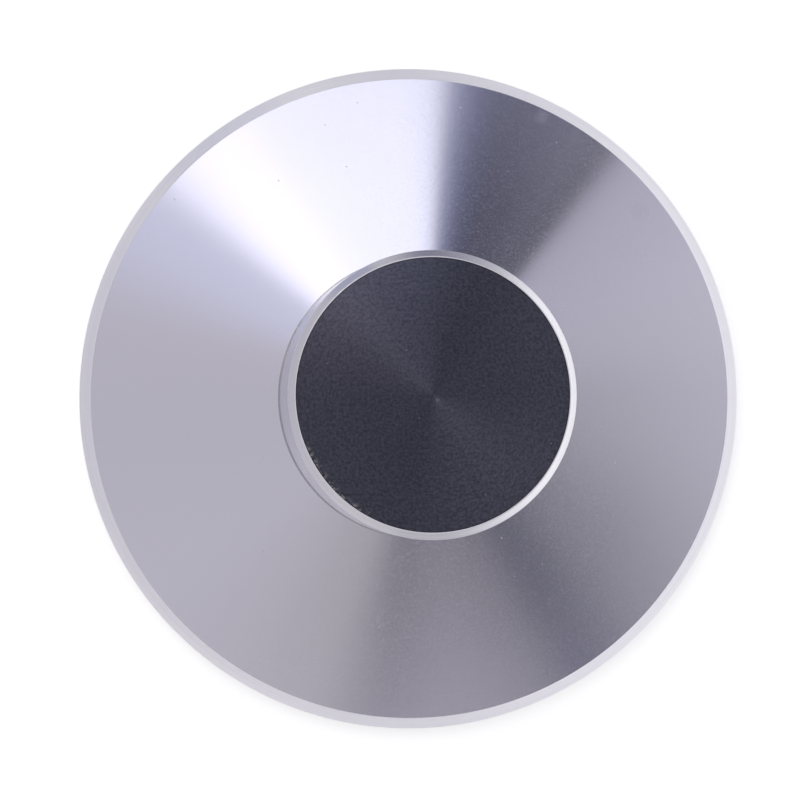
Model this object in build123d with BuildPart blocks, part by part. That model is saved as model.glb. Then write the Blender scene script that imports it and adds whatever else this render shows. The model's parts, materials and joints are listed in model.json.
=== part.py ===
from build123d import *
import os
from math import radians, tan

# A record weight: it is set on a record's label, over the turntable's spindle, and lifted by its knob.
# Z runs up the axis that it was turned about, and the label that it stands on is the plane Z = 0.
# Sizes are in millimetres.

# Turned body
base_diameter = 76.0
rim_wall = 2.0
rim_chamfer = 1.3
rim_lower_edge_break = 0.3
cone_rise = 9.6
knob_diameter = 31.5
knob_height = 17.6
knob_chamfer = 0.7

# Fine groove that the point of the turning tool leaves at the foot of the knob
relief_width = 0.08
relief_depth = 0.2
relief_lip_round = 0.03

# Black disc set in the crown of the knob
crown_land = 0.12
inlay_thickness = 1.0
inlay_set_down = 0.05
inlay_clearance = 0.03
inlay_edge_break = 0.05

# Rubber ring let into the underside
pad_margin = 5.0
pad_thickness = 1.5
pad_proud = 0.5
pad_clearance = 0.1
pad_hole_margin = 3.0

# Blind bore that drops over the spindle
spindle_diameter = 7.2
spindle_clearance = 0.1
bore_depth = 18.0
bore_mouth_chamfer = 0.5
drill_point_angle = 118.0

# Outline of the body, from its underside up to the crown
base_radius = base_diameter / 2
knob_radius = knob_diameter / 2
underside_z = pad_proud
rim_wall_top_z = underside_z + rim_wall
face_edge_radius = base_radius - rim_chamfer
face_edge_z = rim_wall_top_z + rim_chamfer
knob_foot_z = face_edge_z + cone_rise
crown_z = knob_foot_z + knob_height

# The conical face would meet the knob at knob_foot_z, and the relief groove cuts it off at a lip
cone_slope = cone_rise / (face_edge_radius - knob_radius)
lip_radius = knob_radius + relief_width
lip_z = knob_foot_z - relief_width * cone_slope
relief_floor_z = lip_z - relief_depth

# Seats cut in the body, and the pieces that lie in them
inlay_seat_radius = knob_radius - knob_chamfer - crown_land
inlay_seat_depth = inlay_set_down + inlay_thickness
inlay_radius = inlay_seat_radius - inlay_clearance
inlay_floor_z = crown_z - inlay_seat_depth
pad_seat_radius = base_radius - pad_margin
pad_seat_depth = pad_thickness - pad_proud
pad_radius = pad_seat_radius - pad_clearance
pad_seat_z = underside_z + pad_seat_depth
bore_radius = spindle_diameter / 2 + spindle_clearance
pad_hole_radius = bore_radius + pad_hole_margin
bore_top_z = pad_seat_z + bore_depth
bore_tip_z = bore_top_z + bore_radius / tan(radians(drill_point_angle / 2))

os.makedirs("parts", exist_ok=True)

# Weight body, turned from one bar
with BuildPart() as weight_body:
    with BuildSketch(Plane.XZ):
        with BuildLine():
            Polyline(
                (0, underside_z),
                (base_radius, underside_z),
                (base_radius, rim_wall_top_z),
                (face_edge_radius, face_edge_z),
                (lip_radius, lip_z),
                (lip_radius, relief_floor_z),
                (knob_radius, relief_floor_z),
                (knob_radius, crown_z),
                (0, crown_z),
                close=True,
            )
        make_face()
    revolve(axis=Axis.Z)
    circles = weight_body.edges().filter_by(GeomType.CIRCLE).sort_by(Axis.Z)
    rim_lower_edge = circles[0]
    crown_edge = circles[-1]
    lip_edge = circles.filter_by_position(Axis.Z, relief_floor_z, knob_foot_z, inclusive=(False, True))[0]
    chamfer(crown_edge, length=knob_chamfer)
    chamfer(rim_lower_edge, length=rim_lower_edge_break)
    fillet(lip_edge, radius=relief_lip_round)

    # Shallow seat in the crown for the black disc
    with BuildSketch(Plane.XY.offset(crown_z)):
        Circle(inlay_seat_radius)
    extrude(amount=-inlay_seat_depth, mode=Mode.SUBTRACT)

    # Shallow seat in the underside for the rubber ring
    with BuildSketch(Plane.XY.offset(underside_z)):
        Circle(pad_seat_radius)
    extrude(amount=pad_seat_depth, mode=Mode.SUBTRACT)

    # Spindle bore: chamfered mouth, straight wall and the cone that the drill leaves
    with BuildSketch(Plane.XZ):
        with BuildLine():
            Polyline(
                (0, pad_seat_z),
                (bore_radius + bore_mouth_chamfer, pad_seat_z),
                (bore_radius, pad_seat_z + bore_mouth_chamfer),
                (bore_radius, bore_top_z),
                (0, bore_tip_z),
                close=True,
            )
        make_face()
    revolve(axis=Axis.Z, mode=Mode.SUBTRACT)

# Black disc, seated on the floor of the crown's recess
with BuildPart() as top_inlay:
    with BuildSketch(Plane.XY.offset(inlay_floor_z)):
        Circle(inlay_radius)
    extrude(amount=inlay_thickness)
    chamfer(top_inlay.edges().sort_by(Axis.Z)[-1], length=inlay_edge_break)

# Rubber ring, seated in the underside and standing proud of the metal
with BuildPart() as base_pad:
    with BuildSketch():
        Circle(pad_radius)
        Circle(pad_hole_radius, mode=Mode.SUBTRACT)
    extrude(amount=pad_thickness)

weight_body.part.label = "weight_body"
top_inlay.part.label = "top_inlay"
base_pad.part.label = "base_pad"
export_step(weight_body.part, "parts/weight_body.step")
export_step(top_inlay.part, "parts/top_inlay.step")
export_step(base_pad.part, "parts/base_pad.step")
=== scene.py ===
"""A record weight dressed for rendering: aluminium body, black disc in its crown, rubber ring underneath.

Every piece is turned about the Z axis, so each mesh is one outline of radius and height carried round it.
Lengths are in metres and angles in degrees. Azimuths run anticlockwise from the X axis, seen from above.
"""
import json
import math

import bpy
import numpy as np
from mathutils import Matrix, Vector


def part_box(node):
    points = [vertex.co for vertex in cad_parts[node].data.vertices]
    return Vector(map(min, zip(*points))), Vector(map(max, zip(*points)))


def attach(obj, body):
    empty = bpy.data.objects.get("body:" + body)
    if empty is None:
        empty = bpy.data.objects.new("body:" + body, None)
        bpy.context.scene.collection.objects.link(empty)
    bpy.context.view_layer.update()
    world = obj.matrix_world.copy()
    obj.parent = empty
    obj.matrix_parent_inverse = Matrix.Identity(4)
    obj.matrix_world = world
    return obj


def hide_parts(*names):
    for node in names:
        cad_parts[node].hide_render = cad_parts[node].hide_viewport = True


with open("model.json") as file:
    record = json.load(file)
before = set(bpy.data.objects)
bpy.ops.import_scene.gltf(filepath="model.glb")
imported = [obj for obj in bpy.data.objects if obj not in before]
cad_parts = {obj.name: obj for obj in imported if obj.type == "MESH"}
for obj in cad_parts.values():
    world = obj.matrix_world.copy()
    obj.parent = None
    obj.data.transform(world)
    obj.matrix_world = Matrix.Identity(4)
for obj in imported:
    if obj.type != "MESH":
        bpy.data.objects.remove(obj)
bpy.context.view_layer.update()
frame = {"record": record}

MM = 0.001
WHITE = (1.0, 1.0, 1.0, 1.0)
BLACK = (0.0, 0.0, 0.0, 1.0)

# Sizes that the frame gives
body_low, body_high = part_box("weight_body")
inlay_low, inlay_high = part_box("top_inlay")
pad_low, pad_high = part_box("base_pad")
spindle_bore = next(mount for mount in frame["record"]["mounts"] if mount["name"] == "spindle_bore")
base_radius = body_high.x
underside_z = body_low.z
crown_z = body_high.z
inlay_radius = inlay_high.x
inlay_floor_z = inlay_low.z
inlay_top_z = inlay_high.z
pad_radius = pad_high.x
pad_floor_z = pad_low.z
pad_seat_z = pad_high.z
bore_radius = spindle_bore["dims"]["r_mm"] * MM

# Sizes of the solids inside those boxes
rim_wall = 2.0 * MM
rim_chamfer = 1.3 * MM
rim_lower_edge_break = 0.3 * MM
cone_rise = 9.6 * MM
knob_radius = 15.75 * MM
knob_chamfer = 0.7 * MM
relief_width = 0.08 * MM
relief_depth = 0.2 * MM
relief_lip_round = 0.03 * MM
crown_land = 0.12 * MM
inlay_edge_break = 0.05 * MM
pad_margin = 5.0 * MM
pad_hole_margin = 3.0 * MM
bore_depth = 18.0 * MM
bore_mouth_chamfer = 0.5 * MM
drill_point_angle = 118.0

# Heights and radii that follow from them
rim_wall_top_z = underside_z + rim_wall
face_edge_radius = base_radius - rim_chamfer
face_edge_z = rim_wall_top_z + rim_chamfer
knob_foot_z = face_edge_z + cone_rise
cone_slope = cone_rise / (face_edge_radius - knob_radius)
lip_radius = knob_radius + relief_width
lip_z = knob_foot_z - relief_width * cone_slope
relief_floor_z = lip_z - relief_depth
knob_chamfer_z = crown_z - knob_chamfer
inlay_seat_radius = knob_radius - knob_chamfer - crown_land
pad_seat_radius = base_radius - pad_margin
pad_hole_radius = bore_radius + pad_hole_margin
bore_top_z = pad_seat_z + bore_depth
bore_tip_z = bore_top_z + bore_radius / math.tan(math.radians(drill_point_angle / 2))

# Small pip that the facing tool leaves at the disc's centre
pip_radius = 0.25 * MM
pip_depth = 0.03 * MM

# How the edges were broken after turning
fine_edge = 0.02 * MM
small_edge = 0.05 * MM
handled_edge = 0.1 * MM
rubber_edge = 0.25 * MM

# Mesh fineness: steps round the axis, steps in a corner's arc, how far past it a point holds the flat
SEGMENTS = 384
ARC_STEPS = 6
HOLD = 0.02 * MM


def rounded_outline(corners, closed=False):
    """Points of an outline whose corners (radius, height, rounding) become arcs that touch both their sides.

    The arc starts rounding / tan(half the corner's angle) before the corner and ends as far after it. Its
    points swing evenly from the first touching point to the second, seen from the arc's centre. Each straight
    stretch gets a point close to both of its ends, so that smooth shading stays flat along it. A closed
    outline ends with its first point.
    """
    points = np.array([corner[:2] for corner in corners], float)
    roundings = [corner[2] for corner in corners]
    swing = np.linspace(0.0, 1.0, ARC_STEPS + 1)[:, None]
    stretches = []
    for place, rounding in enumerate(roundings):
        corner = points[place]
        if rounding == 0.0:
            stretches.append(corner[None, :])
            continue
        back = points[place - 1] - corner
        onward = points[(place + 1) % len(points)] - corner
        back = back / np.linalg.norm(back)
        onward = onward / np.linalg.norm(onward)
        half = math.acos(np.clip(back @ onward, -1.0, 1.0)) / 2
        touch = rounding / math.tan(half)
        middle = (back + onward) / np.linalg.norm(back + onward)
        centre = corner + middle * rounding / math.sin(half)
        first = corner + back * touch - centre
        last = corner + onward * touch - centre
        turn = math.pi - 2 * half
        arc = centre + (np.sin((1 - swing) * turn) * first + np.sin(swing * turn) * last) / math.sin(turn)
        before = corner + back * (touch + HOLD)
        after = corner + onward * (touch + HOLD)
        stretches.append(np.vstack([before[None, :], arc, after[None, :]]))
    outline = np.vstack(stretches)
    return np.vstack([outline, outline[:1]]) if closed else outline


def turned_piece(name, outline, material, node):
    """A mesh whose point (i, j) is outline point i turned about Z by the j-th of SEGMENTS equal steps.

    x = radius cos(angle), y = radius sin(angle), z = height. An outline that starts and ends on the axis
    closes there in fans of triangles about shared points, and one that returns to its start closes on itself.
    """
    closed = bool(np.allclose(outline[0], outline[-1]))
    poles = [] if closed else [outline[0], outline[-1]]
    rings = outline[:-1] if closed else outline[1:-1]
    angle = np.arange(SEGMENTS) * 2 * math.pi / SEGMENTS
    radius = rings[:, 0][:, None]
    height = np.broadcast_to(rings[:, 1][:, None], (len(rings), SEGMENTS))
    grid = np.stack([radius * np.cos(angle), radius * np.sin(angle), height], axis=-1).reshape(-1, 3)
    ends = np.array([[0.0, 0.0, pole[1]] for pole in poles]).reshape(-1, 3)
    points = np.vstack([grid, ends])

    index = np.arange(len(rings) * SEGMENTS).reshape(len(rings), SEGMENTS)
    inner = index if closed else index[:-1]
    outer = np.roll(index, -1, axis=0) if closed else index[1:]
    corners = (inner, outer, np.roll(outer, -1, axis=1), np.roll(inner, -1, axis=1))
    faces = np.stack(corners, axis=-1).reshape(-1, 4).tolist()
    if poles:
        first_pole = np.full(SEGMENTS, len(grid))
        last_pole = first_pole + 1
        first_ring = index[0]
        last_ring = index[-1]
        faces += np.stack([first_pole, first_ring, np.roll(first_ring, -1)], axis=-1).tolist()
        faces += np.stack([last_ring, last_pole, np.roll(last_ring, -1)], axis=-1).tolist()

    mesh = bpy.data.meshes.new(name)
    mesh.from_pydata(points, [], faces)
    mesh.shade_smooth()
    mesh.materials.append(material)
    piece = bpy.data.objects.new(name, mesh)
    bpy.context.scene.collection.objects.link(piece)
    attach(piece, "root")
    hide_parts(node)


class Wire:
    """A socket of a shader tree. Arithmetic on it adds Math nodes, and node() adds any other kind of node."""

    def __init__(self, tree, socket=None):
        self.tree = tree
        self.socket = socket

    def node(self, kind, settings=None, sockets=None, output=0):
        """Adds a node, sets its settings, fills or links its sockets by name or number, gives one output."""
        made = self.tree.nodes.new("ShaderNode" + kind)
        for name, value in (settings or {}).items():
            setattr(made, name, value)
        for key, value in (sockets or {}).items():
            if isinstance(value, Wire):
                self.tree.links.new(value.socket, made.inputs[key])
            else:
                made.inputs[key].default_value = value
        return Wire(self.tree, made.outputs[output] if made.outputs else None)

    def beside(self, output):
        """Another output of the same node."""
        return Wire(self.tree, self.socket.node.outputs[output])

    def maths(self, operation, first, second=0.0):
        """What a Math node's operation makes of first and second."""
        return self.node("Math", {"operation": operation}, {0: first, 1: second})

    # Operators and their reflected forms, each of which adds one Math node
    def __add__(self, other):
        return self.maths("ADD", self, other)

    def __radd__(self, other):
        return self.maths("ADD", other, self)

    def __sub__(self, other):
        return self.maths("SUBTRACT", self, other)

    def __rsub__(self, other):
        return self.maths("SUBTRACT", other, self)

    def __mul__(self, other):
        return self.maths("MULTIPLY", self, other)

    def __rmul__(self, other):
        return self.maths("MULTIPLY", other, self)

    def __truediv__(self, other):
        return self.maths("DIVIDE", self, other)

    def __rtruediv__(self, other):
        return self.maths("DIVIDE", other, self)

    def __pow__(self, other):
        return self.maths("POWER", self, other)

    def step(self, low, high):
        """0 below low, 1 above high, and a smooth rise between them."""
        sockets = {"Value": self, "From Min": low, "From Max": high}
        return self.node("MapRange", {"interpolation_type": "SMOOTHSTEP"}, sockets)

    def blend(self, none, full):
        """The colour none where this value is 0, full where it is 1."""
        return self.node("Mix", {"data_type": "RGBA"}, {0: self, 6: none, 7: full}, 2)

    def times(self, colour):
        """This colour multiplied by another, channel by channel."""
        settings = {"data_type": "RGBA", "blend_type": "MULTIPLY"}
        return self.node("Mix", settings, {0: 1.0, 6: self, 7: colour}, 2)

    def noise(self, scale, detail=2.0, roughness=0.5):
        """Noise between 0 and 1, mostly near 0.5, read at this vector times scale."""
        sockets = {"Vector": self, "Scale": scale, "Detail": detail, "Roughness": roughness}
        return self.node("TexNoise", None, sockets)

    def bump(self, strength, distance):
        """A normal that takes this value as the height of the surface, in steps of distance."""
        return self.node("Bump", None, {"Strength": strength, "Distance": distance, "Height": self})


def new_material(name):
    """An empty node material, with a wire to start from."""
    material = bpy.data.materials.new(name)
    material.use_nodes = True
    material.node_tree.nodes.clear()
    return material, Wire(material.node_tree)


def finish_material(start, settings):
    """Ends a material in one Principled shader with these sockets."""
    shader = start.node("BsdfPrincipled", None, settings)
    start.node("OutputMaterial", None, {"Surface": shader})


def turned_coordinates(start):
    """Position, radius from the axis, height, and two functions of the place on a turned piece."""
    position = start.node("TexCoord", output="Object")
    x = start.node("SeparateXYZ", None, {0: position})
    y = x.beside("Y")
    height = x.beside("Z")
    radius = (x * x + y * y) ** 0.5

    def turning_noise(around, across, detail):
        """Noise drawn out along the turning.

        It is read at the place's angle on a circle of radius around, so it has no seam, and at a height of
        across times radius less height, which always grows from the crown to the rim.
        """
        sockets = {"X": x / radius * around, "Y": y / radius * around, "Z": (radius - height) * across}
        return start.node("CombineXYZ", None, sockets).noise(1.0, detail)

    def towards(azimuth):
        """The cosine of the angle, about the axis, between the place and an azimuth."""
        turn = math.radians(azimuth)
        return (x * math.cos(turn) + y * math.sin(turn)) / radius

    return position, radius, height, turning_noise, towards


def dust_specks(position, scale, largest):
    """1 inside small round specks, one in each cell of a Voronoi pattern.

    A speck reaches as far as largest times the square of its cell's random number, with a soft outer part.
    """
    nearest = position.node("TexVoronoi", None, {"Vector": position, "Scale": scale}, "Distance")
    chance = position.node("SeparateColor", None, {"Color": nearest.beside("Color")})
    reach = chance * chance * largest
    return 1 - (nearest / reach).step(0.6, 1.0)


def soft_spot(radius, cosine, spot_radius, size):
    """1 near a place that lies spot_radius from the axis, falling to 0 at size from it.

    cosine is that of the angle, about the axis, to the place. By the law of cosines, the distance in plan is
    the root of radius squared plus spot_radius squared less 2 radius spot_radius cosine.
    """
    squares = radius * radius + spot_radius * spot_radius
    apart = (squares - radius * cosine * (2 * spot_radius)) ** 0.5
    return 1 - apart.step(0.2 * size, size)


def turned_aluminium():
    """Clear anodised aluminium: a satin face with a fine grain, and cleaner cuts on the knob and the rim.

    Each cut's mask is 1 on it and 0 off it. The tone is blended from one tone for each cut, and multiplied by
    a shade that follows the grain and the tool lines. Dust hides some of the metal, in specks, in a hazy
    smudge and in a film that thickens towards the rim. A second smudge is only darker.
    """
    cut_tone = (0.775, 0.762, 0.812, 1.0)
    face_tone = (0.702, 0.677, 0.800, 1.0)
    rim_tone = (0.845, 0.830, 0.885, 1.0)
    wall_tone = (0.760, 0.750, 0.765, 1.0)
    # Painted light: the narrow slit is painted paler than the metal round it, which lifts its shade
    painted_slit_light = (0.900, 0.930, 0.980, 1.0)
    dust_tone = (0.600, 0.595, 0.605, 1.0)
    # Painted shade: the foot of the knob's wall is darkened, where shade gathers in the corner
    painted_foot_shade = (0.74, 0.74, 0.75, 1.0)
    dark_shade = (0.975, 0.975, 0.975, 1.0)
    light_shade = (1.025, 1.025, 1.025, 1.0)
    slit_start = knob_radius + 0.01 * MM
    slit_full = knob_radius + 0.03 * MM
    painted_shade_top_z = lip_z + 3.5 * MM
    film_start = 22.0 * MM
    film_full = 37.0 * MM
    material, start = new_material("turned_aluminium")
    position, radius, height, turning_noise, towards = turned_coordinates(start)

    # Where each cut lies
    off_knob = radius.step(lip_radius - small_edge, lip_radius + small_edge)
    on_rim = radius.step(face_edge_radius, face_edge_radius + small_edge)
    on_rim_wall = on_rim * (1 - height.step(rim_wall_top_z - small_edge, rim_wall_top_z))
    on_face = off_knob * (1 - on_rim) * height.step(rim_wall_top_z, face_edge_z - small_edge)
    on_wall = (1 - off_knob) * (1 - height.step(knob_chamfer_z - small_edge, knob_chamfer_z))
    # Where the painted shade lies: the knob's wall from the lip up to 3.5 mm above it
    painted_shade_at_foot = on_wall * (1 - height.step(lip_z, painted_shade_top_z))
    in_slit = radius.step(slit_start, slit_full) * (1 - radius.step(lip_radius, lip_radius + small_edge))
    in_slit = in_slit * height.step(rim_wall_top_z, face_edge_z)

    # Marks of the making
    rings = turning_noise(around=2.0, across=9000.0, detail=3.0)
    tool_lines = (turning_noise(around=1.0, across=2400.0, detail=2.0) - 0.5) * (1 - on_face)
    satin = (position.noise(scale=3300.0, detail=2.0) - 0.5) * on_face
    pits = position.noise(scale=4600.0, detail=1.0).step(0.45, 0.75) * on_face
    satin_height = 0.08
    ring_height = 0.10
    relief = satin * satin_height + rings * ring_height

    # Marks of use
    handling = position.noise(scale=90.0, detail=3.0)
    specks = dust_specks(position, scale=520.0, largest=0.085)
    film = on_face * radius.step(film_start, film_full)
    hazy = soft_spot(radius, towards(azimuth=65.1), spot_radius=35.75 * MM, size=1.15 * MM)
    hazy = hazy * handling.step(0.20, 0.55)
    dull = soft_spot(radius, towards(azimuth=39.4), spot_radius=34.1 * MM, size=1.5 * MM)

    line_contrast = 4.0
    dull_contrast = 0.9
    shade = 0.5 + satin + tool_lines * line_contrast - dull * dull_contrast
    tone = on_face.blend(cut_tone, face_tone)
    tone = on_rim.blend(tone, rim_tone)
    tone = (on_wall + on_rim_wall).blend(tone, wall_tone)
    tone = tone.times(shade.blend(dark_shade, light_shade))
    # Painted light in the slit: paler than the face, lifting the shade inside it
    tone = in_slit.blend(tone, painted_slit_light)
    # Painted shade at the foot of the knob's wall, fading out 3.5 mm above the lip
    tone = tone.times(painted_shade_at_foot.blend(WHITE, painted_foot_shade))

    clean_roughness = 0.190
    pit_roughness = 0.046
    handling_roughness = 0.02
    wall_polish = 0.06
    dust_roughness = 0.2
    roughness = clean_roughness + pits * pit_roughness + (handling - 0.5) * handling_roughness
    roughness = roughness - on_wall * wall_polish

    dust_cover = 0.35
    haze_cover = 0.13
    film_cover = 0.05
    finish_material(start, {
        "Base Color": specks.blend(tone, dust_tone),
        "Metallic": 1 - specks * dust_cover - hazy * haze_cover - film * film_cover,
        "Roughness": roughness + specks * dust_roughness,
        "Anisotropic": 0.62,
        "Anisotropic Rotation": 0.25,
        "Normal": relief.bump(strength=0.5, distance=0.012 * MM),
    })
    return material


def black_turned_disc():
    """Black anodised aluminium: short arcs of the turning, flecks along one worn edge, a nick by the centre.

    Arcs and grain together make a mottle, which changes the tone, the roughness and the relief. The relief
    also falls with radius to lean_power, so that it leans outwards more and more towards the edge.
    """
    dark_tone = (0.0475, 0.0475, 0.0665, 1.0)
    light_tone = (0.0825, 0.0825, 0.1155, 1.0)
    # Painted sheen: the disc is made lighter towards its edge
    painted_edge_sheen = (1.14, 1.14, 1.13, 1.0)
    dust_tone = (0.200, 0.200, 0.220, 1.0)
    nick_tone = (0.112, 0.111, 0.138, 1.0)
    fleck_tone = (0.240, 0.225, 0.215, 1.0)
    sheen_start = 0.4 * inlay_radius
    flecks_start = inlay_radius - 0.7 * MM
    arc_share = 0.4
    grain_share = 0.6
    ring_height = 0.3
    lean_power = 2.5
    lean_rate = 2.87e6
    clean_roughness = 0.38
    mottle_roughness = 0.2
    material, start = new_material("black_turned_disc")
    position, radius, _, turning_noise, towards = turned_coordinates(start)
    arcs = turning_noise(around=22.0, across=4500.0, detail=2.0)
    rings = turning_noise(around=2.0, across=9000.0, detail=3.0)
    grain = position.noise(scale=3200.0, detail=2.0)
    mottle = arcs * arc_share + grain * grain_share
    relief = mottle + rings * ring_height - radius ** lean_power * lean_rate
    worn_edge = radius.step(flecks_start, inlay_radius) * towards(azimuth=222.0).step(0.90, 0.97)
    flecks = worn_edge * position.noise(scale=2600.0, detail=3.0).step(0.50, 0.62)
    specks = dust_specks(position, scale=700.0, largest=0.075)
    nick = soft_spot(radius, towards(azimuth=311.0), spot_radius=0.73 * MM, size=0.34 * MM)

    tone = mottle.step(0.34, 0.66).blend(dark_tone, light_tone)
    # Painted sheen, lighter from four tenths of the radius out to the edge
    tone = tone.times(radius.step(sheen_start, inlay_radius).blend(WHITE, painted_edge_sheen))
    tone = specks.blend(tone, dust_tone)
    tone = nick.blend(tone, nick_tone)
    finish_material(start, {
        "Base Color": flecks.blend(tone, fleck_tone),
        "Metallic": 1 - flecks,
        "Roughness": clean_roughness + (mottle - 0.5) * mottle_roughness,
        "Anisotropic": 0.87,
        "Anisotropic Rotation": 0.25,
        "Normal": relief.bump(strength=0.5, distance=0.02 * MM),
    })
    return material


def pad_rubber():
    """Matte black sheet rubber with a fine moulded grain and a little dust."""
    clean_tone = (0.026, 0.026, 0.028, 1.0)
    dusty_tone = (0.060, 0.058, 0.056, 1.0)
    clean_roughness = 0.72
    dust_roughness = 0.15
    material, start = new_material("pad_rubber")
    position = start.node("TexCoord", output="Object")
    grain = position.noise(scale=2200.0, detail=4.0, roughness=0.6)
    dust = position.noise(scale=350.0, detail=5.0, roughness=0.7).step(0.52, 0.78)
    finish_material(start, {
        "Base Color": dust.blend(clean_tone, dusty_tone),
        "Roughness": clean_roughness + dust * dust_roughness,
        "Specular IOR Level": 0.35,
        "Normal": grain.bump(strength=0.8, distance=0.05 * MM),
    })
    return material


def weight_body():
    """The body's outline, from the floor of the crown's seat round the outside to the tip of the bore."""
    return rounded_outline([
        (0.0, inlay_floor_z, 0.0),
        (inlay_seat_radius, inlay_floor_z, fine_edge),
        (inlay_seat_radius, crown_z, fine_edge),
        (knob_radius - knob_chamfer, crown_z, fine_edge),
        (knob_radius, knob_chamfer_z, small_edge),
        (knob_radius, relief_floor_z, fine_edge),
        (lip_radius, relief_floor_z, fine_edge),
        (lip_radius, lip_z, relief_lip_round),
        (face_edge_radius, face_edge_z, small_edge),
        (base_radius, rim_wall_top_z, handled_edge),
        (base_radius, underside_z + rim_lower_edge_break, small_edge),
        (base_radius - rim_lower_edge_break, underside_z, small_edge),
        (pad_seat_radius, underside_z, small_edge),
        (pad_seat_radius, pad_seat_z, small_edge),
        (bore_radius + bore_mouth_chamfer, pad_seat_z, small_edge),
        (bore_radius, pad_seat_z + bore_mouth_chamfer, small_edge),
        (bore_radius, bore_top_z, small_edge),
        (0.0, bore_tip_z, 0.0),
    ])


def top_inlay():
    """The disc's outline, from the pip at its centre over its edge to its lower face."""
    return rounded_outline([
        (0.0, inlay_top_z - pip_depth, 0.0),
        (pip_radius, inlay_top_z, small_edge),
        (inlay_radius - inlay_edge_break, inlay_top_z, fine_edge),
        (inlay_radius, inlay_top_z - inlay_edge_break, fine_edge),
        (inlay_radius, inlay_floor_z, small_edge),
        (0.0, inlay_floor_z, 0.0),
    ])


def base_pad():
    """The ring's section, once round: a flat strip of rubber with its edges a little rounded."""
    return rounded_outline([
        (pad_hole_radius, pad_seat_z, small_edge),
        (pad_radius, pad_seat_z, small_edge),
        (pad_radius, pad_floor_z, rubber_edge),
        (pad_hole_radius, pad_floor_z, rubber_edge),
    ], closed=True)


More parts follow.
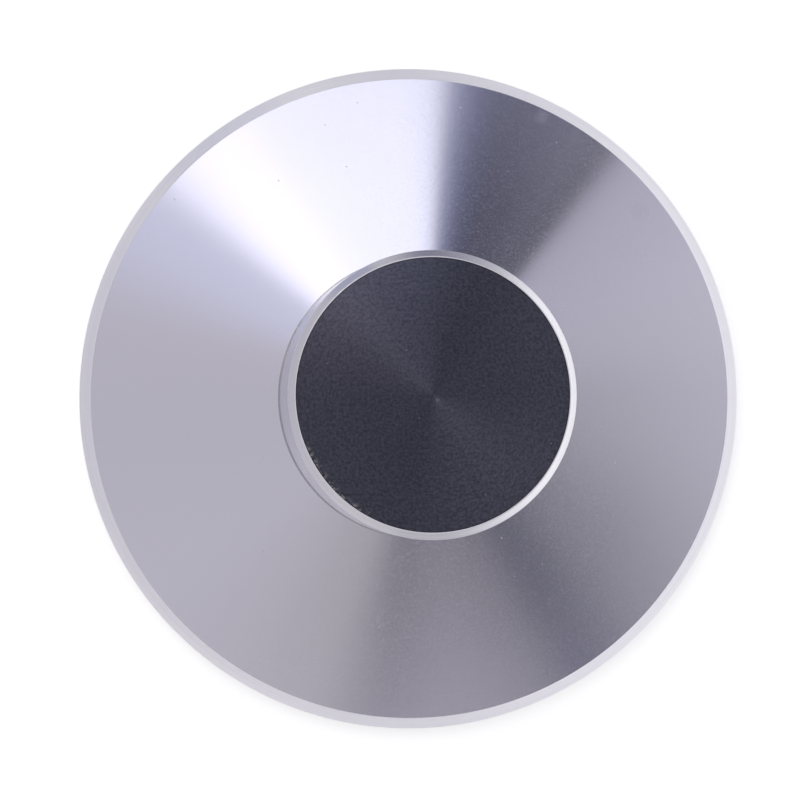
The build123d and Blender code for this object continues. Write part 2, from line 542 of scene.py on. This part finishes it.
def studio_world():
    """Light by direction, in bands one above the other, each a ground colour with soft panels laid on it.

    From the bottom they are table level, lower wall, upper wall, ceiling and zenith. The upper wall holds the
    softbox and the dark gap beside it, and meets the lower wall at a line that rises and falls with azimuth.
    A band's limits are heights on a sphere of radius 1. Cameras see plain white instead.
    """
    table_edge = (0.16, 0.30)
    ceiling_edge = (0.77, 0.87)
    zenith_edge = (0.975, 0.99)
    wall_softness = 0.022
    zenith = (0.70, 0.70, 0.72, 1.0)
    world = bpy.data.worlds.new("studio_light")
    world.use_nodes = True
    world.node_tree.nodes.clear()
    start = Wire(world.node_tree)
    bpy.context.scene.world = world
    x = start.node("SeparateXYZ", None, {0: start.node("TexCoord", output="Generated")})
    y = x.beside("Y")
    rise = x.beside("Z")
    azimuth = start.maths("ARCTAN2", y, x) * math.degrees(1.0)

    def panel(first, last, first_softness, last_softness):
        """1 between two azimuths, falling to 0 over a soft edge at each."""
        middle = (first + last) / 2
        half = (last - first) / 2
        turned = start.node("Math", {"operation": "WRAP"}, {0: azimuth - middle, 1: 180.0, 2: -180.0})
        begun = turned.step(-half - first_softness / 2, -half + first_softness / 2)
        ended = turned.step(half - last_softness / 2, half + last_softness / 2)
        return begun * (1 - ended)

    def painted(ground, panels):
        """The ground colour with each panel's colour laid over the ones before it."""
        for colour, mask in panels:
            ground = mask.blend(ground, colour)
        return ground

    softbox = panel(77.6, 133.5, 3.0, 6.0)
    table_level = painted((0.560, 0.550, 0.590, 1.0), (
        ((0.625, 0.61, 0.63, 1.0), panel(223.0, 260.0, 40.0, 11.0)),
        ((0.515, 0.51, 0.545, 1.0), panel(259.5, 290.0, 10.0, 20.0)),
        ((1.30, 1.29, 1.30, 1.0), panel(307.0, 408.0, 56.0, 35.0)),
        ((0.105, 0.107, 0.18, 1.0), panel(66.5, 95.5, 50.0, 22.0)),
        ((0.39, 0.405, 0.52, 1.0), panel(110.3, 131.5, 3.0, 13.0)),
    ))
    lower_wall = painted((0.48, 0.49, 0.615, 1.0), (
        ((1.055, 1.033, 1.045, 1.0), panel(200.0, 303.0, 28.0, 9.0)),
        ((0.94, 0.95, 0.95, 1.0), panel(315.0, 406.5, 16.0, 33.0)),
        ((0.095, 0.108, 0.153, 1.0), panel(88.5, 111.0, 15.0, 9.0)),
        ((0.343, 0.355, 0.42, 1.0), panel(110.5, 140.0, 10.0, 10.0)),
    ))
    upper_wall = painted((0.635, 0.633, 0.627, 1.0), (
        ((0.525, 0.525, 0.56, 1.0), panel(310.0, 420.5, 40.0, 11.0)),
        ((0.425, 0.428, 0.40, 1.0), panel(239.7, 300.0, 40.0, 20.0)),
        ((0.105, 0.105, 0.112, 1.0), panel(264.0, 378.0, 16.0, 40.0)),
        ((0.0, 0.0, 0.003, 1.0), panel(45.8, 73.5, 3.0, 7.0)),
        ((0.002, 0.038, 0.165, 1.0), panel(72.3, 90.0, 16.0, 4.0)),
        ((0.745, 0.795, 0.88, 1.0), panel(120.0, 153.0, 10.0, 20.0)),
        ((1.445, 1.495, 1.53, 1.0), softbox),
        ((2.30, 2.00, 1.50, 1.0), panel(121.0, 122.3, 19.0, 16.0)),
    ))
    ceiling = painted((0.50, 0.50, 0.51, 1.0), (
        ((0.70, 0.73, 0.78, 1.0), panel(330.0, 435.0, 30.0, 10.0)),
        ((0.38, 0.38, 0.39, 1.0), panel(205.0, 330.0, 30.0, 30.0)),
        ((1.24, 1.00, 0.92, 1.0), panel(120.0, 162.0, 14.0, 18.0)),
        ((1.445, 1.495, 1.70, 1.0), softbox),
        ((5.60, 4.80, 4.40, 1.0), panel(117.5, 126.5, 8.0, 10.0)),
    ))
    wall_line = 0.498 + 0.067 * panel(232.7, 296.0, 19.0, 32.0) + 0.016 * panel(49.8, 80.0, 10.0, 4.0)
    wall_line = wall_line - 0.085 * panel(33.4, 48.0, 20.0, 10.0) + 0.042 * panel(334.5, 382.5, 49.0, 26.0)
    colour = (rise - wall_line).step(-wall_softness, wall_softness).blend(lower_wall, upper_wall)
    colour = rise.step(*table_edge).blend(table_level, colour)
    colour = rise.step(*ceiling_edge).blend(colour, ceiling)
    colour = rise.step(*zenith_edge).blend(colour, zenith)
    lighting = start.node("Background", None, {"Color": colour, "Strength": 1.0})
    backdrop = start.node("Background", None, {"Color": WHITE, "Strength": 1.0})
    seen = start.node("LightPath", output="Is Camera Ray")
    both = start.node("MixShader", None, {0: seen, 1: lighting, 2: backdrop})
    start.node("OutputWorld", None, {"Surface": both})


def pale_floor():
    """A round white table: one polygon of points at equal steps round a circle, level with the pad.

    To cameras and in reflections it glows a little, so that it reads as white and still takes a shadow.
    """
    floor_radius = 250.0 * MM
    floor_steps = 96
    seen_glow = 0.48
    mirrored_glow = 0.27
    angle = np.arange(floor_steps) * 2 * math.pi / floor_steps
    level = np.zeros(floor_steps)
    points = np.stack([floor_radius * np.cos(angle), floor_radius * np.sin(angle), level], axis=-1)
    mesh = bpy.data.meshes.new("floor")
    mesh.from_pydata(points, [], [list(range(floor_steps))])
    material, start = new_material("pale_floor")
    seen = start.node("LightPath", output="Is Camera Ray")
    mirrored = start.maths("MAXIMUM", seen.beside("Is Glossy Ray"), seen.beside("Is Transmission Ray"))
    finish_material(start, {
        "Base Color": (0.85, 0.85, 0.85, 1.0),
        "Roughness": 0.9,
        "Specular IOR Level": 0.2,
        "Emission Color": (seen * seen_glow + mirrored * mirrored_glow).blend(BLACK, WHITE),
        "Emission Strength": 1.0,
    })
    mesh.materials.append(material)
    floor = bpy.data.objects.new("floor", mesh)
    bpy.context.scene.collection.objects.link(floor)


def photo_camera():
    """A long lens nearly above the weight, a little to the left of its axis, with the Y axis upward.

    Its back axis points from target to eye, its right axis is Y crossed with back, and its upward axis is
    back crossed with right.
    """
    eye = Vector((-42.006, -6.511, 480.273)) * MM
    target = Vector((-1.294, -0.200, 3.8)) * MM
    data = bpy.data.cameras.new("photo_camera")
    data.sensor_width = 36.0
    data.lens = 187.38
    data.clip_start = 0.01
    camera = bpy.data.objects.new("photo_camera", data)
    bpy.context.scene.collection.objects.link(camera)
    back = (eye - target).normalized()
    right = Vector((0.0, 1.0, 0.0)).cross(back).normalized()
    upward = back.cross(right)
    turn = Matrix((right, upward, back)).transposed()
    camera.matrix_world = Matrix.Translation(eye) @ turn.to_4x4()
    bpy.context.scene.camera = camera


turned_piece("turned_body", weight_body(), turned_aluminium(), "weight_body")
turned_piece("crown_disc", top_inlay(), black_turned_disc(), "top_inlay")
turned_piece("label_pad", base_pad(), pad_rubber(), "base_pad")
studio_world()
pale_floor()
photo_camera()
bpy.context.scene.view_settings.view_transform = "Standard"
